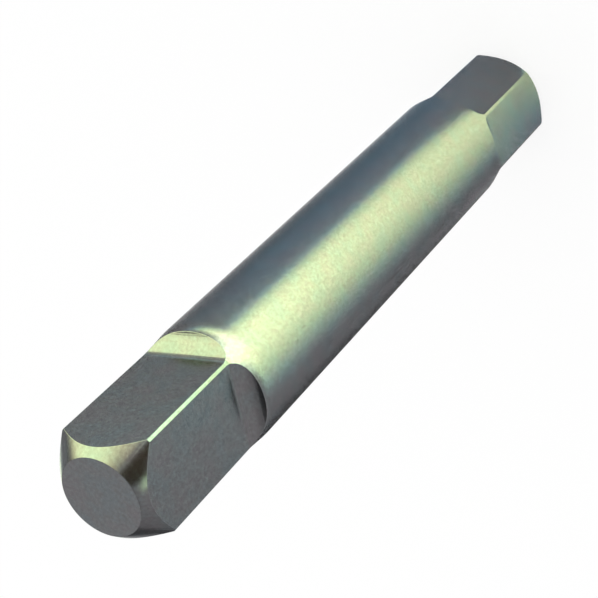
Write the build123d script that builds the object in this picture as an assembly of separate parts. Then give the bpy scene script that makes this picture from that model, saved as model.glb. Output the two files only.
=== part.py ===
from build123d import *
import os

# A double-ended drive bit, turned from one round bar and then milled: a male hexagon at the
# bottom end, a plain round shank, and a male square at the top end.
# It stands on its hexagon end: its axis is Z, and the surface it stands on is Z = 0.
# All sizes are in millimetres and degrees.

# Bar
overall_length = 75.0
shank_diameter = 11.4

# Square end. Its corners are left narrow and round by the neck it is milled from.
square_across_flats = 8.0
square_flat_length = 12.7
neck_diameter = 11.05
neck_length = 13.5
lead_length = 2.0
square_face_diameter = 6.9
square_nose_length = 2.25

# Hexagon end
hexagon_across_flats = 10.0
hexagon_flat_length = 12.8
hexagon_face_diameter = 9.0
hexagon_nose_length = 1.6

# Turn of each end's front corner about Z, away from -Y
hexagon_turn = 0.0
square_turn = 7.0

# Milling cutter: each flat runs out into the shank in an arc of its corner radius.
cutter_corner_radius = 1.6
cutter_clearance = 1.0

SQUARE_SIDES = 4
HEXAGON_SIDES = 6
FULL_TURN = 360.0
QUARTER_TURN = 90.0
FRONT = -90.0

shank_radius = shank_diameter / 2


def turned_bar():
    """The bar as the lathe leaves it: both end chamfers, the shank, the lead cone and the neck."""
    neck_start = overall_length - neck_length
    outline = [
        (0, 0),
        (hexagon_face_diameter / 2, 0),
        (shank_radius, hexagon_nose_length),
        (shank_radius, neck_start - lead_length),
        (neck_diameter / 2, neck_start),
        (neck_diameter / 2, overall_length - square_nose_length),
        (square_face_diameter / 2, overall_length),
        (0, overall_length),
    ]
    half_section = Plane.XZ * make_face(Polyline(*outline, close=True))
    return revolve(half_section, Axis.Z)


def flat_cut(end_face, inward, flat_length, across_flats):
    """The metal that one pass of the cutter takes off, for the flat that faces +X.

    inward is the direction along Z from the end face into the bar, 1 or -1. The flat runs straight
    as far as flat_length, and then curves out of the bar in a quarter circle.
    """
    start = (across_flats / 2, end_face - inward * cutter_clearance)
    run_out_start = (across_flats / 2, end_face + inward * flat_length)
    flat = Line(start, run_out_start)
    run_out = JernArc(run_out_start, (0, inward), cutter_corner_radius, -inward * QUARTER_TURN)
    clear_of_bar = across_flats / 2 + cutter_corner_radius + shank_diameter
    way_back = Polyline(run_out @ 1, (clear_of_bar, (run_out @ 1).Y), (clear_of_bar, start[1]), start)
    side_view = Plane.XZ * make_face([flat, run_out, way_back])
    return extrude(side_view, shank_diameter, both=True)


def mill_flats(bar, cut, sides, turn):
    """Take the same cut from every side, with one corner left at the front and turned on by turn."""
    for side in range(sides):
        bar -= Rot(Z=FRONT + turn + (side + 0.5) * FULL_TURN / sides) * cut
    return bar


def drive_bit():
    """The whole bit, turned and then milled."""
    hexagon_cut = flat_cut(0, 1, hexagon_flat_length, hexagon_across_flats)
    square_cut = flat_cut(overall_length, -1, square_flat_length, square_across_flats)
    bar = turned_bar()
    bar = mill_flats(bar, hexagon_cut, HEXAGON_SIDES, hexagon_turn)
    return mill_flats(bar, square_cut, SQUARE_SIDES, square_turn)


os.makedirs("parts", exist_ok=True)
export_step(drive_bit(), "parts/drive_bit.step")
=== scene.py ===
"""A square drive bit, stood on its hexagon end in a plain white studio.

The bit is one solid piece of plated steel. It is turned, milled and eased along its edges here, to
the sizes of the CAD frame's node, which it replaces. Sizes are written in millimetres and degrees,
and are turned into Blender's metres and radians where they are used.
"""
import logging
import math
from contextlib import contextmanager
from dataclasses import dataclass
from enum import Enum, IntEnum
from typing import Callable, Iterator, Mapping, Sequence, Union

import bpy
from mathutils import Matrix, Vector


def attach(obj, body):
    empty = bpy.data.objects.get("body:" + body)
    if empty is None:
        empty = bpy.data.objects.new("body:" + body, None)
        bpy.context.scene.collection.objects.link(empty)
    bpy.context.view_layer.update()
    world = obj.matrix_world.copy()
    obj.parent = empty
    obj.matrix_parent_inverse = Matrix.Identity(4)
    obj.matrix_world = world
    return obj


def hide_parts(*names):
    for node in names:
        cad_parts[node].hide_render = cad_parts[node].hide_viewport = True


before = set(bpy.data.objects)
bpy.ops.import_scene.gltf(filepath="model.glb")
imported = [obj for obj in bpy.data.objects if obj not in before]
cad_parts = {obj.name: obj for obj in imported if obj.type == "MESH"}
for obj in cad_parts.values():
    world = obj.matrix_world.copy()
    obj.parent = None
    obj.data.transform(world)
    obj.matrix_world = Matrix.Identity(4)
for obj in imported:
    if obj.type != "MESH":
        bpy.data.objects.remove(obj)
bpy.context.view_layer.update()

NODE = "drive_bit"
BODY = "root"
MM = 0.001
TINY = 0.01 * MM  # places nearer to each other than this are the same
FULL_TURN = 360.0
HALF_TURN = FULL_TURN / 2
FRONT = -90.0  # the turn from +X to the front, -Y
NOISE_MIDDLE = 0.5
EDGE_FACES = 1  # the material number that the faces of broken edges have while the bit is made
WHITE = (1.0, 1.0, 1.0)
LIME = (0.86, 1.0, 0.54)
STRAW = (1.0, 0.9, 0.48)

Colour = tuple[float, float, float]
Place = tuple[float, float, float]
Grain = tuple[float, float, float]
Span = tuple[float, float]
Number = Union[float, "Signal"]
log = logging.getLogger("drive_bit_scene")


# Shader sockets as numbers


class Signal:
    """One output socket that works in Python expressions, which add Math nodes to its tree."""

    def __init__(self, bench: "NodeBench", socket: bpy.types.NodeSocket) -> None:
        """Wrap a socket.

        Args:
            bench: The bench whose tree holds the socket.
            socket: An output socket that carries a number.
        """
        self.bench = bench
        self.socket = socket

    def __add__(self, other: Number) -> "Signal":
        """Return self + other."""
        return self.bench.maths("ADD", self, other)

    __radd__ = __add__

    def __sub__(self, other: Number) -> "Signal":
        """Return self - other."""
        return self.bench.maths("SUBTRACT", self, other)

    def __rsub__(self, other: Number) -> "Signal":
        """Return other - self."""
        return self.bench.maths("SUBTRACT", other, self)

    def __mul__(self, other: Number) -> "Signal":
        """Return self * other."""
        return self.bench.maths("MULTIPLY", self, other)

    __rmul__ = __mul__

    def __truediv__(self, other: Number) -> "Signal":
        """Return self / other."""
        return self.bench.maths("DIVIDE", self, other)

    def __rtruediv__(self, other: Number) -> "Signal":
        """Return other / self."""
        return self.bench.maths("DIVIDE", other, self)

    def __pow__(self, other: Number) -> "Signal":
        """Return self ** other."""
        return self.bench.maths("POWER", self, other)

    def __rpow__(self, other: Number) -> "Signal":
        """Return other ** self."""
        return self.bench.maths("POWER", other, self)

    def between(self, start: Number, end: Number) -> "Signal":
        """Turn the signal into a smooth step.

        Args:
            start: The value at which the step begins.
            end: The value at which the step is complete.

        Returns:
            0 up to start, 1 from end on, and a smooth rise from one to the other.
        """
        step = self.bench.add(
            "ShaderNodeMapRange",
            {"interpolation_type": "SMOOTHSTEP"},
            {"Value": self, "From Min": start, "From Max": end},
        )
        return Signal(self.bench, step.outputs["Result"])


class MixSocket(IntEnum):
    """The numbers of a Mix node's sockets while it mixes colours."""

    SHARE = 0
    UNDER = 6
    OVER = 7
    RESULT = 2


class NodeBench:
    """An emptied node tree, with one method that adds every node to it."""

    def __init__(self, tree: bpy.types.NodeTree) -> None:
        """Empty a tree.

        Args:
            tree: The node tree of a material or of the world.
        """
        self.tree = tree
        tree.nodes.clear()

    def add(
        self,
        kind: str,
        settings: Mapping[str, object] | None = None,
        sockets: Mapping[str | int, object] | None = None,
    ) -> bpy.types.Node:
        """Add one node.

        Args:
            kind: The node's type, such as ShaderNodeMath.
            settings: The node's own settings, set before its sockets. A ramp's stops are pairs of a
                place and a colour.
            sockets: A value, a socket or a signal for each input, by its name or number.

        Returns:
            The new node.
        """
        node = self.tree.nodes.new(kind)
        for name, value in (settings or {}).items():
            if name == "stops":
                self._set_stops(node.color_ramp, value)
            else:
                setattr(node, name, value)
        for name, value in (sockets or {}).items():
            if isinstance(value, Signal):
                value = value.socket
            if isinstance(value, bpy.types.NodeSocket):
                self.tree.links.new(value, node.inputs[name])
            else:
                node.inputs[name].default_value = value
        return node

    @staticmethod
    def _set_stops(ramp: bpy.types.ColorRamp, stops: Sequence[tuple[float, Colour]]) -> None:
        """Give a colour ramp its stops.

        Args:
            ramp: The new ramp, which has two stops.
            stops: Each stop's place and colour, from left to right.
        """
        middle = 0.5
        while len(ramp.elements) < len(stops):
            ramp.elements.new(middle)
        for element, (place, colour) in zip(ramp.elements, stops):
            element.position = place
            element.color = (*colour, 1.0)

    def maths(self, operation: str, *operands: Number) -> Signal:
        """Add a Math node.

        Args:
            operation: The node's operation.
            operands: Its inputs, in order.

        Returns:
            The node's result.
        """
        node = self.add("ShaderNodeMath", {"operation": operation}, dict(enumerate(operands)))
        return Signal(self, node.outputs["Value"])

    def blend(
        self, share: Number, under: object, over: object, mode: str = "MIX"
    ) -> bpy.types.NodeSocket:
        """Mix two colours.

        Args:
            share: How much of the upper colour shows, from 0 to 1.
            under: The lower colour, or its socket.
            over: The upper colour, or its socket.
            mode: The blend mode.

        Returns:
            The mixed colour's socket.
        """
        lower, upper = (
            (*colour, 1.0) if isinstance(colour, tuple) else colour for colour in (under, over)
        )
        mix = self.add(
            "ShaderNodeMix",
            {"data_type": "RGBA", "blend_type": mode},
            {MixSocket.SHARE: share, MixSocket.UNDER: lower, MixSocket.OVER: upper},
        )
        return mix.outputs[MixSocket.RESULT]

    def noise(self, place: bpy.types.NodeSocket, grain: Grain, detail: float) -> Signal:
        """Add a fractal noise that runs from about 0.3 to 0.7.

        Args:
            place: The position in metres.
            grain: The size of the noise's features along X, Y and Z, in millimetres.
            detail: How many finer layers it has.

        Returns:
            The noise's value.
        """
        scaled = self.add(
            "ShaderNodeMapping",
            {"vector_type": "POINT"},
            {"Vector": place, "Scale": tuple(1 / (size * MM) for size in grain)},
        )
        noise = self.add(
            "ShaderNodeTexNoise",
            sockets={"Vector": scaled.outputs["Vector"], "Scale": 1.0, "Detail": detail},
        )
        return Signal(self, noise.outputs["Fac"])

    def attribute(self, name: str) -> Signal:
        """Read a mesh attribute.

        Args:
            name: The attribute's name.

        Returns:
            The attribute's value.
        """
        node = self.add("ShaderNodeAttribute", {"attribute_name": name})
        return Signal(self, node.outputs["Fac"])


# The bit's finish


class Surface(Enum):
    """How a face of the bit was made, and the name of the mesh attribute that marks it."""

    MILLED = "milled"
    TURNED = "turned"
    LAND = "land"
    EDGE = "edge"


@dataclass(frozen=True)
class PlatedSteel:
    """Zinc plate over drawn, turned and milled steel: satin, cloudy, and cut by fine tool marks.

    The clouds run from the warm to the cool grey, which stand at the noise values of grey_stops. A
    grain is the size of one mark along X, Y and Z, or for the rings along the radius and the axis.
    """

    name: str = "plated_steel"
    warm_grey: Colour = (0.131, 0.126, 0.133)
    plain_grey: Colour = (0.127, 0.130, 0.135)
    cool_grey: Colour = (0.121, 0.132, 0.140)
    grey_stops: tuple[float, float, float] = (0.36, 0.5, 0.66)
    rim_tint: Colour = (0.5, 0.5, 0.51)
    edge_gain: float = 1.1
    # Painted shade on the lands: their colour is dimmed and greened, which dims and greens the
    # highlight along them.
    land_painted_shade: Colour = (0.76, 0.9, 0.86)
    roughness: float = 0.2
    milled_roughness: float = 0.03
    roughness_swing: float = 0.08
    cloud_size: float = 1.9
    cloud_detail: float = 3.0
    mottle_size: float = 0.28
    mottle_detail: float = 2.0
    mottle_in_clouds: float = 0.3
    mottle_depth: float = 0.4
    cut_mottle_depth: float = 0.1
    feed_line_grain: Grain = (6.0, 6.0, 0.3)
    drawn_line_grain: Grain = (0.25, 0.25, 12.0)
    ring_grain: Grain = (0.25, 0.25, 1.0)
    mark_detail: float = 1.0
    mark_height: float = 0.0012

    def material(self) -> bpy.types.Material:
        """Make the material.

        Returns:
            The new material.
        """
        material = bpy.data.materials.new(self.name)
        material.use_nodes = True
        bench = NodeBench(material.node_tree)
        place = bench.add("ShaderNodeTexCoord").outputs["Object"]
        mottle = bench.noise(place, (self.mottle_size,) * 3, self.mottle_detail)
        shader = bench.add(
            "ShaderNodeBsdfPrincipled",
            sockets={
                "Base Color": self._colour(bench, place, mottle),
                "Metallic": 1.0,
                "Roughness": self.roughness
                + self.milled_roughness * bench.attribute(Surface.MILLED.value)
                + self.roughness_swing * (mottle - NOISE_MIDDLE),
                "Specular Tint": (*self.rim_tint, 1.0),
                "Normal": self._tool_marks(bench, place, mottle),
            },
        )
        bench.add("ShaderNodeOutputMaterial", sockets={"Surface": shader.outputs["BSDF"]})
        return material

    def _colour(
        self, bench: NodeBench, place: bpy.types.NodeSocket, mottle: Signal
    ) -> bpy.types.NodeSocket:
        """Mix the plate's cloudy colour, and lay painted shade on the lands that dims and greens
        them.

        Args:
            bench: The material's bench.
            place: The position.
            mottle: The fine mottling.

        Returns:
            The colour's socket.
        """
        clouds = bench.noise(place, (self.cloud_size,) * 3, self.cloud_detail)
        greys = (self.warm_grey, self.plain_grey, self.cool_grey)
        tint = bench.add(
            "ShaderNodeValToRGB",
            {"stops": tuple(zip(self.grey_stops, greys))},
            {"Fac": clouds + self.mottle_in_clouds * (mottle - NOISE_MIDDLE)},
        )
        cut = bench.attribute(Surface.MILLED.value) + bench.attribute(Surface.TURNED.value)
        depth = self.mottle_depth + self.cut_mottle_depth * cut
        wear = 1.0 + (self.edge_gain - 1.0) * bench.attribute(Surface.EDGE.value)
        level = (1.0 + depth * (mottle - NOISE_MIDDLE)) * wear
        grey = bench.add(
            "ShaderNodeCombineColor", sockets={"Red": level, "Green": level, "Blue": level}
        )
        plate = bench.blend(1.0, tint.outputs["Color"], grey.outputs["Color"], "MULTIPLY")
        # The lands get painted shade, a darker and greener colour that dims their highlight.
        return bench.blend(bench.attribute(Surface.LAND.value), plate, self.land_painted_shade, "MULTIPLY")

    def _tool_marks(
        self, bench: NodeBench, place: bpy.types.NodeSocket, mottle: Signal
    ) -> bpy.types.NodeSocket:
        """Raise each surface's own tool marks over the plate's fine grain.

        Args:
            bench: The material's bench.
            place: The position.
            mottle: The fine mottling.

        Returns:
            The bumped normal's socket.
        """
        milled = bench.attribute(Surface.MILLED.value)
        turned = bench.attribute(Surface.TURNED.value)
        feed_lines = bench.noise(place, self.feed_line_grain, self.mark_detail)
        drawn_lines = bench.noise(place, self.drawn_line_grain, self.mark_detail)
        from_axis = bench.add(
            "ShaderNodeMapping",
            {"vector_type": "POINT"},
            {"Vector": place, "Scale": (1.0, 1.0, 0.0)},
        )
        radius = bench.add(
            "ShaderNodeVectorMath", {"operation": "LENGTH"}, {0: from_axis.outputs["Vector"]}
        )
        along = bench.add("ShaderNodeSeparateXYZ", sockets={"Vector": place})
        ring_place = bench.add(
            "ShaderNodeCombineXYZ", sockets={"X": radius.outputs["Value"], "Y": along.outputs["Z"]}
        )
        rings = bench.noise(ring_place.outputs["Vector"], self.ring_grain, self.mark_detail)
        lines = milled * feed_lines + turned * rings + (1.0 - milled - turned) * drawn_lines
        bump = bench.add(
            "ShaderNodeBump",
            sockets={"Strength": 1.0, "Distance": self.mark_height * MM, "Height": lines + mottle},
        )
        return bump.outputs["Normal"]


# Modelling by hand


def take(piece: bpy.types.Object) -> None:
    """Select one object alone and make it the active one.

    Args:
        piece: The object to work on.
    """
    bpy.ops.object.select_all(action="DESELECT")
    bpy.context.view_layer.objects.active = piece
    piece.select_set(True)


@contextmanager
def editing(piece: bpy.types.Object, elements: str) -> Iterator[None]:
    """Open a piece in edit mode with nothing selected, and close it again.

    Args:
        piece: The object to edit.
        elements: VERT, EDGE or FACE, the kind of element to select.
    """
    take(piece)
    bpy.ops.object.mode_set(mode="EDIT")
    bpy.ops.mesh.select_mode(type=elements)
    bpy.ops.mesh.select_all(action="DESELECT")
    yield
    bpy.ops.object.mode_set(mode="OBJECT")


def pick_edges(piece: bpy.types.Object, wanted: Callable[[Vector, Vector], bool]) -> None:
    """Select the edges of a piece in edit mode by the places of their ends.

    Args:
        piece: The object that is being edited.
        wanted: Says whether the edge between two points, in metres, is selected.
    """
    bpy.ops.object.mode_set(mode="OBJECT")
    points = piece.data.vertices
    for edge in piece.data.edges:
        start, end = (points[number].co for number in edge.vertices)
        edge.select = wanted(start, end)
    bpy.ops.object.mode_set(mode="EDIT")


def pick_faces(piece: bpy.types.Object, wanted: Callable[[Vector], bool]) -> None:
    """Select the faces of a piece in edit mode by their centres.

    Args:
        piece: The object that is being edited.
        wanted: Says whether the face with a centre, in metres, is selected.
    """
    bpy.ops.object.mode_set(mode="OBJECT")
    for face in piece.data.polygons:
        face.select = wanted(face.center)
    bpy.ops.object.mode_set(mode="EDIT")


def apply_modifier(piece: bpy.types.Object, kind: str, settings: Mapping[str, object]) -> None:
    """Add a modifier to a piece and apply it.

    Args:
        piece: The object to change.
        kind: The modifier's type.
        settings: The modifier's settings.
    """
    take(piece)
    modifier = piece.modifiers.new(kind.lower(), kind)
    for name, value in settings.items():
        setattr(modifier, name, value)
    bpy.ops.object.modifier_apply(modifier=modifier.name)


@dataclass(frozen=True)
class MilledEnd:
    """One end's flats, which all come from the same cut.

    Its inward direction along Z is 1 or -1, and its turn is that of its front corner, from -Y.
    """

    sides: int
    face: float
    inward: float
    across_flats: float
    flat_length: float
    turn: float = 0.0

    @property
    def half_width(self) -> float:
        """Return the distance from the axis to a flat."""
        return self.across_flats / 2

    @property
    def run_out_start(self) -> float:
        """Return the height at which a flat ends and its run-out starts."""
        return self.face + self.inward * self.flat_length


@dataclass(frozen=True)
class DriveBit:
    """The whole bit: a turned bar with a milled hexagon below and a milled square above."""

    overall_length: float = 75.0
    shank_diameter: float = 11.4
    neck_diameter: float = 11.05
    neck_length: float = 13.5
    lead_length: float = 2.0
    square_face_diameter: float = 6.9
    square_nose_length: float = 2.25
    hexagon_face_diameter: float = 9.0
    hexagon_nose_length: float = 1.6
    cutter_corner_radius: float = 1.6
    cutter_clearance: float = 1.0
    cutter_depth: float = 8.0
    cutter_width: float = 12.0
    hexagon: MilledEnd = MilledEnd(
        sides=6, face=0.0, inward=1.0, across_flats=10.0, flat_length=12.8
    )
    square: MilledEnd = MilledEnd(
        sides=4, face=overall_length, inward=-1.0, across_flats=8.0, flat_length=12.7, turn=7.0
    )
    round_segments: int = 144
    run_out_segments: int = 16
    lead_blend: float = 0.35
    lead_segments: int = 4
    edge_break: float = 0.03
    edge_segments: int = 3
    edge_angle: float = 20.0
    sliver: float = 0.03
    least_cut: float = 0.02
    end_face_steepness: float = 0.99
    smooth_angle: float = 60.0
    normal_weight: int = 50
    finish: PlatedSteel = PlatedSteel()

    def build(self) -> bpy.types.Object:
        """Model the bit, dress it, and put it in place of the frame's node.

        Returns:
            The finished piece.
        """
        bit = self._turn_bar()
        for end in (self.hexagon, self.square):
            self._mill(bit, end)
        self._break_edges(bit)
        self._mark_surfaces(bit)
        self._smooth(bit)
        bit.data.materials.clear()
        bit.data.materials.append(self.finish.material())
        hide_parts(NODE)
        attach(bit, BODY)
        return bit

    @property
    def _lead(self) -> Span:
        """Return the heights of the lead cone's two ends."""
        neck_start = self.overall_length - self.neck_length
        return neck_start - self.lead_length, neck_start

    @property
    def _square_nose_start(self) -> float:
        """Return the height at which the square's nose cone starts."""
        return self.overall_length - self.square_nose_length

    def _outline(self) -> list[Span]:
        """List the corners of the turned bar's outline, from the hexagon's end face up.

        Returns:
            A radius and a height for each corner.
        """
        shank = self.shank_diameter / 2
        neck = self.neck_diameter / 2
        lead_start, lead_end = self._lead
        return [
            (self.hexagon_face_diameter / 2, 0.0),
            (shank, self.hexagon_nose_length),
            (shank, lead_start),
            (neck, lead_end),
            (neck, self._square_nose_start),
            (self.square_face_diameter / 2, self.overall_length),
        ]

    def _turned_radius(self, height: float) -> float:
        """Measure the turned bar at a height.

        Args:
            height: The distance above the hexagon's end face.

        Returns:
            The bar's radius there.
        """
        outline = self._outline()
        for (low_radius, low), (high_radius, high) in zip(outline, outline[1:]):
            if height <= high:
                return low_radius + (high_radius - low_radius) * (height - low) / (high - low)
        return outline[-1][0]

    def _turn_bar(self) -> bpy.types.Object:
        """Draw a disc up into the turned bar, one outline corner after another.

        Returns:
            The bar, closed at both ends.
        """
        outline = self._outline()
        bpy.ops.object.select_all(action="DESELECT")
        bpy.ops.mesh.primitive_circle_add(
            vertices=self.round_segments, radius=outline[0][0] * MM, fill_type="NGON"
        )
        bar = bpy.context.object
        bar.name = "square_drive_bit"
        bpy.ops.object.mode_set(mode="EDIT")
        for (radius, height), (next_radius, next_height) in zip(outline, outline[1:]):
            rise = (0.0, 0.0, (next_height - height) * MM)
            bpy.ops.mesh.extrude_region_move(TRANSFORM_OT_translate={"value": rise})
            growth = next_radius / radius
            bpy.ops.transform.resize(
                value=(growth, growth, 1.0), center_override=(0.0, 0.0, next_height * MM)
            )
        bpy.ops.mesh.select_all(action="SELECT")
        bpy.ops.mesh.normals_make_consistent(inside=False)
        bpy.ops.object.mode_set(mode="OBJECT")
        with editing(bar, "EDGE"):
            pick_edges(bar, lambda start, end: self._on_a_ring(start, end, self._lead))
            bpy.ops.mesh.bevel(
                offset=self.lead_blend * MM,
                offset_type="OFFSET",
                segments=self.lead_segments,
                affect="EDGES",
            )
        return bar

    @staticmethod
    def _on_a_ring(start: Vector, end: Vector, heights: Sequence[float]) -> bool:
        """Say whether both ends of an edge lie at one of some heights.

        Args:
            start: One end of the edge.
            end: The other end.
            heights: The heights to look for.

        Returns:
            True if the edge is part of a ring at one of the heights.
        """
        return any(
            all(abs(point.z - height * MM) < TINY for point in (start, end)) for height in heights
        )

    def _cutter(self, end: MilledEnd) -> bpy.types.Object:
        """Make the block that one pass of the milling cutter sweeps, for the flat that faces +X.

        Args:
            end: The end that is to be milled.

        Returns:
            The block, with the cutter's corner radius along its inner edge.
        """
        inner = end.run_out_start + end.inward * self.cutter_corner_radius
        outer = end.face - end.inward * self.cutter_clearance
        centre = Vector((end.half_width + self.cutter_depth / 2, 0.0, (inner + outer) / 2))
        size = Vector((self.cutter_depth, self.cutter_width, abs(inner - outer)))
        bpy.ops.object.select_all(action="DESELECT")
        bpy.ops.mesh.primitive_cube_add(size=1.0, location=centre * MM, scale=size * MM)
        cutter = bpy.context.object
        bpy.ops.object.transform_apply(location=True, rotation=True, scale=True)

        def on_corner(start: Vector, finish: Vector) -> bool:
            """Say whether an edge is the one between the flat and the inner side.

            Args:
                start: One end of the edge.
                finish: The other end.

            Returns:
                True for that one edge.
            """
            return all(
                abs(point.x - end.half_width * MM) < TINY and abs(point.z - inner * MM) < TINY
                for point in (start, finish)
            )

        with editing(cutter, "EDGE"):
            pick_edges(cutter, on_corner)
            bpy.ops.mesh.bevel(
                offset=self.cutter_corner_radius * MM,
                offset_type="OFFSET",
                segments=self.run_out_segments,
                profile=0.5,
                affect="EDGES",
            )
        return cutter

    def _mill(self, bar: bpy.types.Object, end: MilledEnd) -> None:
        """Cut every flat of one end.

        Args:
            bar: The turned bar.
            end: The end that is to be milled.
        """
        cutter = self._cutter(end)
        for side in range(end.sides):
            heading = FRONT + end.turn + (side + 0.5) * FULL_TURN / end.sides
            cutter.rotation_euler.z = math.radians(heading)
            bpy.context.view_layer.update()
            apply_modifier(
                bar, "BOOLEAN", {"object": cutter, "operation": "DIFFERENCE", "solver": "EXACT"}
            )
        bpy.data.objects.remove(cutter)

    def _break_edges(self, bit: bpy.types.Object) -> None:
        """Merge the slivers that the cuts leave, and round every edge a little.

        Args:
            bit: The milled bar.
        """
        with editing(bit, "VERT"):
            bpy.ops.mesh.select_all(action="SELECT")
            bpy.ops.mesh.remove_doubles(threshold=self.sliver * MM)
        bit.data.materials.clear()
        for name in ("faces", "edges"):
            bit.data.materials.append(bpy.data.materials.new(name))
        apply_modifier(
            bit,
            "BEVEL",
            {
                "width": self.edge_break * MM,
                "segments": self.edge_segments,
                "limit_method": "ANGLE",
                "angle_limit": math.radians(self.edge_angle),
                "use_clamp_overlap": False,
                "loop_slide": False,
                "material": EDGE_FACES,
            },
        )

    def _mark_surfaces(self, bit: bpy.types.Object) -> None:
        """Write how each face was made into the mesh, for the finish to read.

        A face is milled if it lies deeper than the least cut below the turned bar, and is no end
        face. Lands are the neck's round strips between the square's flats.

        Args:
            bit: The milled bar with its edges broken.
        """
        for surface in Surface:
            bit.data.attributes.new(surface.value, "FLOAT", "FACE")
        marks = {surface: bit.data.attributes[surface.value].data for surface in Surface}
        lead_start, lead_end = self._lead
        for face in bit.data.polygons:
            centre = face.center / MM
            cut_depth = self._turned_radius(centre.z) - math.hypot(centre.x, centre.y)
            on_end_face = abs(face.normal.z) >= self.end_face_steepness
            milled = cut_depth > self.least_cut and not on_end_face
            turned = not milled and not self.hexagon_nose_length < centre.z < lead_start
            on_neck = lead_end + self.lead_blend < centre.z < self._square_nose_start
            made = {
                Surface.MILLED: milled,
                Surface.TURNED: turned,
                Surface.LAND: turned and on_neck,
                Surface.EDGE: face.material_index == EDGE_FACES,
            }
            for surface, holds in made.items():
                marks[surface][face.index].value = float(holds)
            face.material_index = 0

    def _smooth(self, bit: bpy.types.Object) -> None:
        """Shade the broken edges smooth and keep the broad faces true.

        Args:
            bit: The milled bar with its edges broken.
        """
        take(bit)
        bpy.ops.object.shade_smooth_by_angle(angle=math.radians(self.smooth_angle))
        apply_modifier(
            bit,
            "WEIGHTED_NORMAL",
            {"mode": "FACE_AREA", "weight": self.normal_weight, "keep_sharp": True},
        )


# The studio


class Ray(Enum):
    """The kinds of ray that look at the room, and don't gather its light."""

    CAMERA = "Is Camera Ray"
    GLOSSY = "Is Glossy Ray"
    TRANSMISSION = "Is Transmission Ray"


def seen_directly(bench: NodeBench) -> Signal:
    """Tell the rays that look at the floor from those that gather its light.

    Args:
        bench: The bench of the floor's material.

    Returns:
        1 for the rays that look at it, and 0 for the others.
    """
    path = bench.add("ShaderNodeLightPath")
    camera, glossy, transmission = (Signal(bench, path.outputs[ray.value]) for ray in Ray)
    return bench.maths("MINIMUM", camera + glossy + transmission, 1.0)


@dataclass(frozen=True)
class Room:
    """The white room: its light, and the pale floor that the bit stands on.

    Metal sees the walls darken towards the back, and the ceiling too. The ceiling's span gives the
    sines of the elevations at which it starts and is complete.
    """

    floor_size: float = 3000.0
    floor_colour: Colour = (0.88, 0.88, 0.88)
    light: float = 1.0
    wall_light: float = 0.88
    wall_fall: float = 0.3
    ceiling_fall: float = 0.2
    ceiling: Span = (0.6, 0.85)
    shadow_share: float = 0.2

    def build(self) -> None:
        """Light the world and lay the floor."""
        self._light_world()
        self._lay_floor()

    def _light_world(self) -> None:
        """Fill the room with even white light, and let metal see where its walls fall off."""
        world = bpy.data.worlds.new("white_room")
        world.use_nodes = True
        world.cycles.sampling_method = "NONE"
        bpy.context.scene.world = world
        bench = NodeBench(world.node_tree)
        glossy = Signal(bench, bench.add("ShaderNodeLightPath").outputs[Ray.GLOSSY.value])
        way = bench.add("ShaderNodeTexCoord").outputs["Generated"]
        axes = bench.add("ShaderNodeSeparateXYZ", sockets={"Vector": way})
        back, up = (Signal(bench, axes.outputs[axis]) for axis in "YZ")
        walls = self.wall_light - self.wall_fall * back
        metal_view = walls * (1.0 - self.ceiling_fall * up.between(*self.ceiling))
        strength = self.light + glossy * (metal_view - self.light)
        background = bench.add(
            "ShaderNodeBackground", sockets={"Color": (*WHITE, 1.0), "Strength": strength}
        )
        bench.add("ShaderNodeOutputWorld", sockets={"Surface": background.outputs["Background"]})

    def _lay_floor(self) -> None:
        """Lay the floor, white to look at and with a share of the bit's shadow left on it."""
        bpy.ops.object.select_all(action="DESELECT")
        bpy.ops.mesh.primitive_plane_add(size=self.floor_size * MM)
        floor = bpy.context.object
        floor.name = "floor"
        material = bpy.data.materials.new("pale_floor")
        material.use_nodes = True
        material.cycles.emission_sampling = "NONE"
        bench = NodeBench(material.node_tree)
        matt = bench.add("ShaderNodeBsdfDiffuse", sockets={"Color": (*self.floor_colour, 1.0)})
        glow_strength = (1.0 - self.shadow_share * self.floor_colour[0]) / (1.0 - self.shadow_share)
        glow = bench.add("ShaderNodeEmission", sockets={"Strength": glow_strength})
        share = seen_directly(bench) * (1.0 - self.shadow_share)
        mix = bench.add(
            "ShaderNodeMixShader",
            sockets={"Fac": share, 1: matt.outputs["BSDF"], 2: glow.outputs["Emission"]},
        )
        bench.add("ShaderNodeOutputMaterial", sockets={"Surface": mix.outputs["Shader"]})
        floor.data.materials.append(material)


def only_in_metal(panel: bpy.types.Object) -> None:
    """Let a studio panel be seen as a reflection and nowhere else.

    Args:
        panel: The panel's object.
    """
    panel.visible_camera = False
    panel.visible_diffuse = False
    panel.visible_transmission = False
    panel.visible_volume_scatter = False
    panel.visible_shadow = False
    panel.active_material.cycles.emission_sampling = "NONE"


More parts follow.
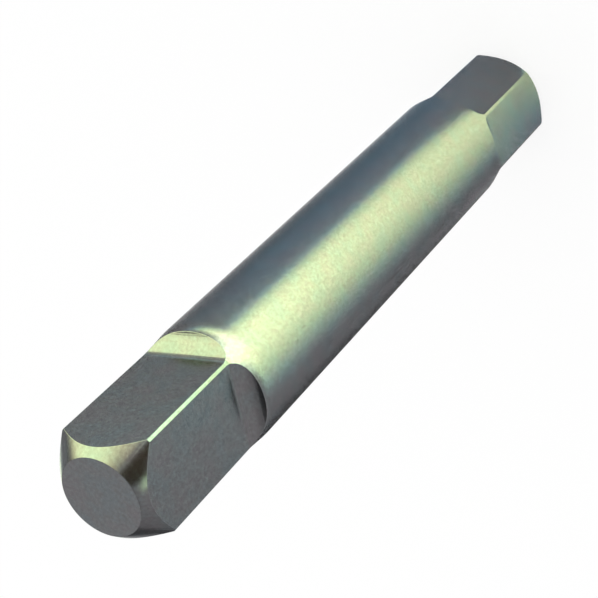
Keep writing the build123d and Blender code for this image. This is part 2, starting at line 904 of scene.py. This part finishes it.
@dataclass(frozen=True)
class FloorGlow:
    """A lit wedge of the floor, which the upright shank shows as a long highlight.

    Its middle line bends and brightens with the distance from the bit. Headings run from the front,
    -Y, towards +X, and a width is where the light is down to a half. Each span gives the distances
    from the axis at which a change starts and ends: the light rises and fades, the wedge spreads
    from its foot and widens to the right, and its colour whitens. A wedge with a shade darkens
    what lies behind it, and has no light of its own.
    """

    name: str
    heading: float
    left_width: float
    right_width: float
    light: float
    lift: float
    heading_bend: float = 0.0
    far_right_width: float = 0.0
    far_light: float = 0.0
    shade: Colour | None = None
    left_fringe: float = 0.12
    far: float = 104.0
    growth_power: float = 2.0
    widens: Span = (74.0, 97.0)
    spreads: Span = (8.0, 24.0)
    foot_widths: tuple[float, float] = (1.0, 1.0)
    rises: Span = (6.0, 14.0)
    foot_light: float = 0.5
    fades: Span = (104.0, 122.0)
    fall: float = 2.3
    right_fall: float = 1.6
    whitens: Span = (72.0, 98.0)
    foot_whiteness: float = 0.5
    near_whitening: float = 0.35
    far_whitening: float = 0.15
    stops: tuple[tuple[float, Colour], ...] = (
        (0.04, (0.3, 0.85, 1.2)),
        (0.22, (0.55, 1.0, 0.72)),
        (0.45, (0.76, 1.0, 0.46)),
        (0.85, (0.87, 1.0, 0.47)),
        (1.0, (0.88, 1.0, 0.64)),
    )

    def build(self) -> None:
        """Lay the wedge just above the floor."""
        bpy.ops.object.select_all(action="DESELECT")
        bpy.ops.mesh.primitive_plane_add(size=2 * self.fades[1] * MM)
        panel = bpy.context.object
        panel.name = self.name
        panel.location.z = self.lift * MM
        material = bpy.data.materials.new(self.name)
        material.use_nodes = True
        bench = NodeBench(material.node_tree)
        place = bench.add("ShaderNodeTexCoord").outputs["Object"]
        axes = bench.add("ShaderNodeSeparateXYZ", sockets={"Vector": place})
        across, back = (Signal(bench, axes.outputs[axis]) / MM for axis in "XY")
        distance = bench.maths("SQRT", across * across + back * back)
        heading = bench.maths("ARCTAN2", across, -1.0 * back)
        profile, on_right = self._profile(bench, heading, distance)
        if self.shade:
            share = profile * (1.0 - distance.between(*self.fades))
            left = bench.blend(share, WHITE, self.shade)
            clear = bench.add("ShaderNodeBsdfTransparent", sockets={"Color": left})
            surface = clear.outputs["BSDF"]
        else:
            glow = self._glow(bench, distance, profile, on_right)
            clear = bench.add("ShaderNodeBsdfTransparent")
            both = bench.add("ShaderNodeAddShader", sockets={0: glow, 1: clear.outputs["BSDF"]})
            surface = both.outputs["Shader"]
        bench.add("ShaderNodeOutputMaterial", sockets={"Surface": surface})
        panel.data.materials.append(material)
        only_in_metal(panel)

    def _profile(
        self, bench: NodeBench, heading: Signal, distance: Signal
    ) -> tuple[Signal, Signal]:
        """Shape the wedge: how much of its light each place has, and on which side it is.

        Args:
            bench: The bench of the panel's material.
            heading: The heading of a place, in radians.
            distance: Its distance from the axis, in millimetres.

        Returns:
            The share, which is 1 on the middle line and 0 well outside the wedge, and the side,
            which is 1 to the right of the middle line and 0 to its left.
        """
        middle = math.radians(self.heading) + math.radians(self.heading_bend) * distance
        offset = bench.maths("WRAP", heading - middle, math.pi, -math.pi)
        right_width = self.right_width + self.far_right_width * distance.between(*self.widens)
        on_right = bench.maths("GREATER_THAN", offset, 0.0)
        spread = distance.between(*self.spreads)
        left, right = (foot + (1.0 - foot) * spread for foot in self.foot_widths)
        width = self.left_width * left * (1.0 - on_right) + right_width * right * on_right
        widths_away = bench.maths("ABSOLUTE", offset) / (width * math.radians(1.0))
        half_light_angle = math.acos(0.5 ** (1.0 / self.fall))
        angle = half_light_angle * widths_away ** (1.0 + (self.right_fall - 1.0) * on_right)
        share = bench.maths("COSINE", bench.maths("MINIMUM", angle, math.pi / 2)) ** self.fall
        return share, on_right

    def _glow(
        self, bench: NodeBench, distance: Signal, profile: Signal, on_right: Signal
    ) -> bpy.types.NodeSocket:
        """Light the wedge, and colour it from its green fringe to its pale middle.

        Args:
            bench: The bench of the panel's material.
            distance: A place's distance from the axis, in millimetres.
            profile: The share of the light that the place has.
            on_right: 1 to the right of the middle line, and 0 to its left.

        Returns:
            The emission's socket.
        """
        growth = (distance / self.far) ** self.growth_power
        rise = self.foot_light + (1.0 - self.foot_light) * distance.between(*self.rises)
        fade = 1.0 - distance.between(*self.fades)
        light = (self.light + self.far_light * growth) * rise * fade
        whiteness = (
            self.foot_whiteness
            + self.near_whitening * distance.between(*self.rises)
            + self.far_whitening * distance.between(*self.whitens)
        )
        greening = self.left_fringe * distance.between(*self.spreads)
        fringe = profile * whiteness + greening * (1.0 - on_right) * (1.0 - profile)
        tint = bench.add("ShaderNodeValToRGB", {"stops": self.stops}, {"Fac": fringe})
        glow = bench.add(
            "ShaderNodeEmission",
            sockets={"Color": tint.outputs["Color"], "Strength": light * profile},
        )
        return glow.outputs["Emission"]


@dataclass(frozen=True)
class DomePanel:
    """A patch of a dome round the bit: a soft box where it shines, or a dark flag.

    Headings run from the front, -Y, towards +X. The soft edges are those at the lower and upper
    heading and at the lower and upper elevation. They have the patch's own tint, unless they are
    given another.
    """

    name: str
    headings: Span
    elevations: Span
    light: float
    tint: Colour = WHITE
    edge_tint: Colour | None = None
    distance: float = 500.0
    soft_edges: tuple[float, float, float, float] = (8.0, 8.0, 8.0, 8.0)
    centre_height: float = 68.0
    segments: int = 180
    rings: int = 90

    def build(self) -> None:
        """Cut the patch out of a sphere, and light it."""
        bpy.ops.object.select_all(action="DESELECT")
        bpy.ops.mesh.primitive_uv_sphere_add(
            segments=self.segments, ring_count=self.rings, radius=self.distance * MM
        )
        panel = bpy.context.object
        panel.name = self.name
        with editing(panel, "FACE"):
            pick_faces(panel, lambda centre: not self._holds(centre))
            bpy.ops.mesh.delete(type="FACE")
        panel.location.z = self.centre_height * MM
        material = bpy.data.materials.new(self.name)
        material.use_nodes = True
        bench = NodeBench(material.node_tree)
        share = self._soft_share(bench)
        colour = bench.blend(share, self.edge_tint or self.tint, self.tint)
        glow = bench.add("ShaderNodeEmission", sockets={"Color": colour, "Strength": self.light})
        clear = bench.add("ShaderNodeBsdfTransparent")
        mix = bench.add(
            "ShaderNodeMixShader",
            sockets={"Fac": share, 1: clear.outputs["BSDF"], 2: glow.outputs["Emission"]},
        )
        bench.add("ShaderNodeOutputMaterial", sockets={"Surface": mix.outputs["Shader"]})
        panel.data.materials.append(material)
        only_in_metal(panel)

    def _holds(self, point: Vector) -> bool:
        """Say whether a point of the sphere is inside the patch.

        Args:
            point: The point, from the sphere's centre.

        Returns:
            True inside the patch and on its border.
        """
        heading = math.degrees(math.atan2(point.x, -point.y))
        elevation = math.degrees(math.atan2(point.z, math.hypot(point.x, point.y)))
        away = (heading - self._middle + HALF_TURN) % FULL_TURN - HALF_TURN
        low, high = self.elevations
        return abs(away) <= self._half_span and low <= elevation <= high

    @property
    def _middle(self) -> float:
        """Return the heading of the patch's middle."""
        return sum(self.headings) / 2

    @property
    def _half_span(self) -> float:
        """Return the angle from the patch's middle to its sides."""
        return (self.headings[1] - self.headings[0]) / 2

    def _soft_share(self, bench: NodeBench) -> Signal:
        """Shape the patch's soft edges.

        Args:
            bench: The bench of the panel's material.

        Returns:
            1 over the patch, falling to 0 at its edges.
        """
        place = bench.add("ShaderNodeTexCoord").outputs["Object"]
        axes = bench.add("ShaderNodeSeparateXYZ", sockets={"Vector": place})
        across, back, up = (Signal(bench, axes.outputs[axis]) for axis in "XYZ")
        turned = bench.maths("ARCTAN2", across, -1.0 * back) - math.radians(self._middle)
        away = bench.maths("WRAP", turned, math.pi, -math.pi)
        rise = bench.maths("ARCTAN2", up, bench.maths("SQRT", across * across + back * back))
        share = None
        spans = (
            (away, (-self._half_span, self._half_span), self.soft_edges[:2]),
            (rise, self.elevations, self.soft_edges[2:]),
        )
        for angle, (low, high), (low_edge, high_edge) in spans:
            start = angle.between(math.radians(low), math.radians(low + low_edge))
            end = 1.0 - angle.between(math.radians(high - high_edge), math.radians(high))
            share = start * end if share is None else share * start * end
        return share


@dataclass(frozen=True)
class PhotoCamera:
    """The camera of the photograph: where it stands, what it looks at, and how it is rolled.

    The roll lets the bit, which stands, slant across the picture as it does in the photograph.
    """

    location: Place = (3.431, -88.069, 141.061)
    aim: Place = (0.0, 0.0, 45.26)
    roll: float = -135.089
    lens: float = 90.778
    sensor: float = 36.0

    def build(self) -> None:
        """Set the camera up and make it the scene's own."""
        bpy.ops.object.select_all(action="DESELECT")
        bpy.ops.object.camera_add()
        camera = bpy.context.object
        camera.name = "photo_camera"
        ahead = (Vector(self.aim) - Vector(self.location)).normalized()
        level = ahead.cross(Vector((0.0, 0.0, 1.0))).normalized()
        rise = level.cross(ahead)
        angle = math.radians(self.roll)
        right = level * math.cos(angle) + rise * math.sin(angle)
        up = rise * math.cos(angle) - level * math.sin(angle)
        turn = Matrix((right, up, -ahead)).transposed().to_4x4()
        camera.matrix_world = Matrix.Translation(Vector(self.location) * MM) @ turn
        camera.data.sensor_width = self.sensor
        camera.data.lens = self.lens
        camera.data.clip_start = MM
        bpy.context.scene.camera = camera


@dataclass(frozen=True)
class Studio:
    """Everything round the bit."""

    room: Room = Room()
    glows: tuple[FloorGlow, ...] = (
        FloorGlow(
            name="front_glow",
            heading=3.0,
            left_width=50.5,
            right_width=28.0,
            light=4.6,
            lift=0.2,
            heading_bend=0.21,
            far_right_width=22.5,
            far_light=7.0,
            foot_widths=(0.84, 0.25),
        ),
        FloorGlow(
            name="back_glow", heading=180.0, left_width=9.0, right_width=9.0, light=3.0, lift=0.1
        ),
        FloorGlow(
            name="back_shade",
            heading=-165.0,
            left_width=14.0,
            right_width=38.0,
            light=0.0,
            lift=0.3,
            shade=(0.15, 0.15, 0.15),
        ),
        FloorGlow(
            name="right_shade",
            heading=105.0,
            left_width=30.0,
            right_width=30.0,
            light=0.0,
            lift=0.4,
            shade=(0.7, 0.86, 0.95),
            fades=(50.0, 74.0),
        ),
        FloorGlow(
            name="right_fringe",
            heading=70.0,
            left_width=26.0,
            right_width=40.0,
            light=0.3,
            lift=0.5,
            fades=(50.0, 74.0),
            stops=((0.0, (0.0, 0.5, 1.0)), (1.0, (0.0, 0.5, 1.0))),
        ),
    )
    panels: tuple[DomePanel, ...] = (
        DomePanel(
            name="side_box",
            headings=(9.0, 138.0),
            elevations=(-24.0, 81.0),
            light=6.6,
            tint=LIME,
            edge_tint=STRAW,
            distance=230.0,
            soft_edges=(75.0, 22.0, 16.0, 28.0),
        ),
        DomePanel(
            name="front_box",
            headings=(-40.0, 64.0),
            elevations=(-34.0, 26.0),
            light=7.8,
            tint=(0.89, 1.0, 0.64),
            edge_tint=(0.6, 1.0, 0.7),
            distance=126.0,
            soft_edges=(40.0, 40.0, 3.0, 12.0),
        ),
        DomePanel(
            name="rear_box",
            headings=(156.0, 196.0),
            elevations=(-30.0, 20.0),
            light=3.5,
            tint=(0.9, 1.0, 0.75),
            edge_tint=(0.8, 1.0, 0.85),
            distance=136.0,
            soft_edges=(16.0, 16.0, 4.0, 12.0),
        ),
        DomePanel(
            name="top_box",
            headings=(-180.0, 180.0),
            elevations=(70.0, 90.0),
            light=1.5,
            soft_edges=(0.0, 0.0, 6.0, 0.0),
        ),
        DomePanel(name="back_box", headings=(155.0, 215.0), elevations=(22.0, 52.0), light=1.2),
        DomePanel(
            name="upper_box",
            headings=(95.0, 152.0),
            elevations=(28.0, 69.0),
            light=6.6,
            tint=LIME,
            edge_tint=STRAW,
            distance=225.0,
            soft_edges=(20.0, 12.0, 14.0, 10.0),
        ),
        DomePanel(
            name="camera_flag",
            headings=(-42.0, 16.0),
            elevations=(30.0, 64.0),
            light=0.14,
            tint=(1.0, 0.7, 0.34),
        ),
        DomePanel(
            name="tip_box",
            headings=(-56.0, -33.0),
            elevations=(26.0, 44.0),
            light=3.5,
            tint=(0.8, 1.0, 0.62),
            distance=450.0,
            soft_edges=(6.0, 6.0, 6.0, 6.0),
        ),
        DomePanel(
            name="low_flag",
            headings=(-175.0, -128.0),
            elevations=(-16.0, 14.0),
            light=0.3,
            distance=230.0,
        ),
        DomePanel(
            name="high_flag",
            headings=(-178.0, -118.0),
            elevations=(44.0, 84.0),
            light=0.1,
            distance=400.0,
        ),
    )
    camera: PhotoCamera = PhotoCamera()

    def build(self) -> None:
        """Set up the room, its panels and the camera."""
        bpy.context.scene.view_settings.view_transform = "Standard"
        self.room.build()
        for panel in (*self.glows, *self.panels):
            panel.build()
            log.info("studio panel %s", panel.name)
        self.camera.build()


def main() -> None:
    """Build the bit and its studio."""
    logging.basicConfig(level=logging.INFO, format="%(name)s: %(message)s")
    bit = DriveBit().build()
    log.info("piece %s: %d faces", bit.name, len(bit.data.polygons))
    Studio().build()


if __name__ == "__main__":
    main()
